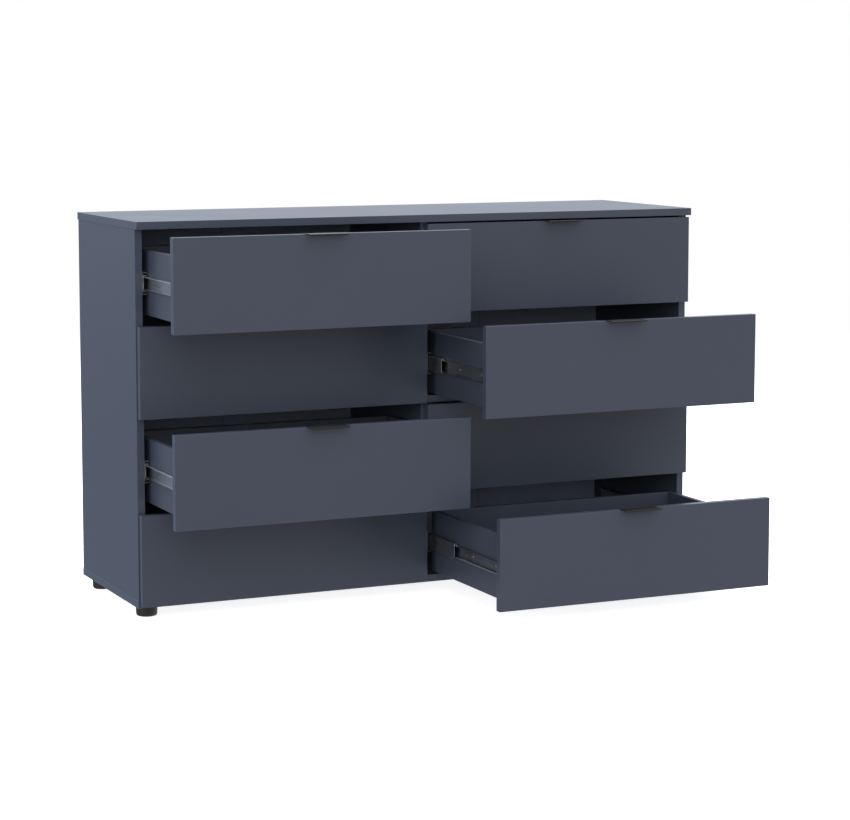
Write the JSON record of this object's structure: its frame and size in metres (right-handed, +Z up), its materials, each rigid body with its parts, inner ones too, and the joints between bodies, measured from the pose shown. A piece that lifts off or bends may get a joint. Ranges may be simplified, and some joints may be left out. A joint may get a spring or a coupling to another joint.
{
  "type": "dresser with drawers",
  "caption": "Low wide chest in matt blue-grey board, two columns of drawers on telescopic ball slides with slim edge-pull handles and short round feet.",
  "frame": {"origin": "on the floor, in the middle of the chest's bounding box with its drawers standing open as at rest", "axes": "+X to the right along the front, +Y from the drawer fronts to the back, +Z up"},
  "size_m": [1.3, 0.7796, 0.828],
  "materials": {
    "carcass_board": "satin blue-grey lacquered board",
    "drawer_front": "satin blue-grey lacquered board",
    "drawer_board": "blue-grey foil-wrapped board",
    "hardboard": "blue-grey faced hardboard",
    "slide_steel": "zinc-plated rolled steel",
    "screw_steel": "zinc-plated steel",
    "handle_metal": "satin black powder coat",
    "foot_plastic": "matt black moulded plastic"
  },
  "bodies": {
    "carcass": {"top_panel": "carcass_board", "left_side_panel": "carcass_board", "right_side_panel": "carcass_board", "centre_partition": "carcass_board", "bottom_panel": "carcass_board", "back_panels": "hardboard", "cross_rails": "carcass_board", "cabinet_slide_members": "slide_steel", "slide_screws": "screw_steel", "cam_fittings": "screw_steel", "back_panel_nails": "screw_steel", "feet": "foot_plastic"},
    "drawer_left_1": {"drawer_left_1_front": "drawer_front", "drawer_left_1_box": "drawer_board", "drawer_left_1_bottom": "hardboard", "drawer_left_1_handle": "handle_metal", "drawer_left_1_runners": "slide_steel"},
    "drawer_left_1_middle": {"drawer_left_1_middle_slides": "slide_steel"},
    "drawer_left_2": {"drawer_left_2_front": "drawer_front", "drawer_left_2_box": "drawer_board", "drawer_left_2_bottom": "hardboard", "drawer_left_2_handle": "handle_metal", "drawer_left_2_runners": "slide_steel"},
    "drawer_left_2_middle": {"drawer_left_2_middle_slides": "slide_steel"},
    "drawer_left_3": {"drawer_left_3_front": "drawer_front", "drawer_left_3_box": "drawer_board", "drawer_left_3_bottom": "hardboard", "drawer_left_3_handle": "handle_metal", "drawer_left_3_runners": "slide_steel"},
    "drawer_left_3_middle": {"drawer_left_3_middle_slides": "slide_steel"},
    "drawer_left_4": {"drawer_left_4_front": "drawer_front", "drawer_left_4_box": "drawer_board", "drawer_left_4_bottom": "hardboard", "drawer_left_4_handle": "handle_metal", "drawer_left_4_runners": "slide_steel"},
    "drawer_left_4_middle": {"drawer_left_4_middle_slides": "slide_steel"},
    "drawer_right_1": {"drawer_right_1_front": "drawer_front", "drawer_right_1_box": "drawer_board", "drawer_right_1_bottom": "hardboard", "drawer_right_1_handle": "handle_metal", "drawer_right_1_runners": "slide_steel"},
    "drawer_right_1_middle": {"drawer_right_1_middle_slides": "slide_steel"},
    "drawer_right_2": {"drawer_right_2_front": "drawer_front", "drawer_right_2_box": "drawer_board", "drawer_right_2_bottom": "hardboard", "drawer_right_2_handle": "handle_metal", "drawer_right_2_runners": "slide_steel"},
    "drawer_right_2_middle": {"drawer_right_2_middle_slides": "slide_steel"},
    "drawer_right_3": {"drawer_right_3_front": "drawer_front", "drawer_right_3_box": "drawer_board", "drawer_right_3_bottom": "hardboard", "drawer_right_3_handle": "handle_metal", "drawer_right_3_runners": "slide_steel"},
    "drawer_right_3_middle": {"drawer_right_3_middle_slides": "slide_steel"},
    "drawer_right_4": {"drawer_right_4_front": "drawer_front", "drawer_right_4_box": "drawer_board", "drawer_right_4_bottom": "hardboard", "drawer_right_4_handle": "handle_metal", "drawer_right_4_runners": "slide_steel"},
    "drawer_right_4_middle": {"drawer_right_4_middle_slides": "slide_steel"}
  },
  "joints": [
    {"name": "drawer_left_1_outer_slide", "type": "slide", "parent": "carcass", "child": "drawer_left_1_middle", "axis": [0, -1, 0], "range_m": [0, 0.133]},
    {"name": "drawer_left_1_inner_slide", "type": "slide", "parent": "drawer_left_1_middle", "child": "drawer_left_1", "axis": [0, -1, 0], "range_m": [-0.215, 0]},
    {"name": "drawer_left_2_outer_slide", "type": "slide", "parent": "carcass", "child": "drawer_left_2_middle", "axis": [0, -1, 0], "range_m": [0, 0.133]},
    {"name": "drawer_left_2_inner_slide", "type": "slide", "parent": "drawer_left_2_middle", "child": "drawer_left_2", "axis": [0, -1, 0], "range_m": [0, 0.215]},
    {"name": "drawer_left_3_outer_slide", "type": "slide", "parent": "carcass", "child": "drawer_left_3_middle", "axis": [0, -1, 0], "range_m": [0, 0.133]},
    {"name": "drawer_left_3_inner_slide", "type": "slide", "parent": "drawer_left_3_middle", "child": "drawer_left_3", "axis": [0, -1, 0], "range_m": [-0.215, 0]},
    {"name": "drawer_left_4_outer_slide", "type": "slide", "parent": "carcass", "child": "drawer_left_4_middle", "axis": [0, -1, 0], "range_m": [0, 0.133]},
    {"name": "drawer_left_4_inner_slide", "type": "slide", "parent": "drawer_left_4_middle", "child": "drawer_left_4", "axis": [0, -1, 0], "range_m": [0, 0.215]},
    {"name": "drawer_right_1_outer_slide", "type": "slide", "parent": "carcass", "child": "drawer_right_1_middle", "axis": [0, -1, 0], "range_m": [0, 0.133]},
    {"name": "drawer_right_1_inner_slide", "type": "slide", "parent": "drawer_right_1_middle", "child": "drawer_right_1", "axis": [0, -1, 0], "range_m": [0, 0.215]},
    {"name": "drawer_right_2_outer_slide", "type": "slide", "parent": "carcass", "child": "drawer_right_2_middle", "axis": [0, -1, 0], "range_m": [-0.067, 0.066]},
    {"name": "drawer_right_2_inner_slide", "type": "slide", "parent": "drawer_right_2_middle", "child": "drawer_right_2", "axis": [0, -1, 0], "range_m": [-0.215, 0]},
    {"name": "drawer_right_3_outer_slide", "type": "slide", "parent": "carcass", "child": "drawer_right_3_middle", "axis": [0, -1, 0], "range_m": [0, 0.133]},
    {"name": "drawer_right_3_inner_slide", "type": "slide", "parent": "drawer_right_3_middle", "child": "drawer_right_3", "axis": [0, -1, 0], "range_m": [0, 0.215]},
    {"name": "drawer_right_4_outer_slide", "type": "slide", "parent": "carcass", "child": "drawer_right_4_middle", "axis": [0, -1, 0], "range_m": [-0.133, 0]},
    {"name": "drawer_right_4_inner_slide", "type": "slide", "parent": "drawer_right_4_middle", "child": "drawer_right_4", "axis": [0, -1, 0], "range_m": [-0.215, 0]}
  ]
}
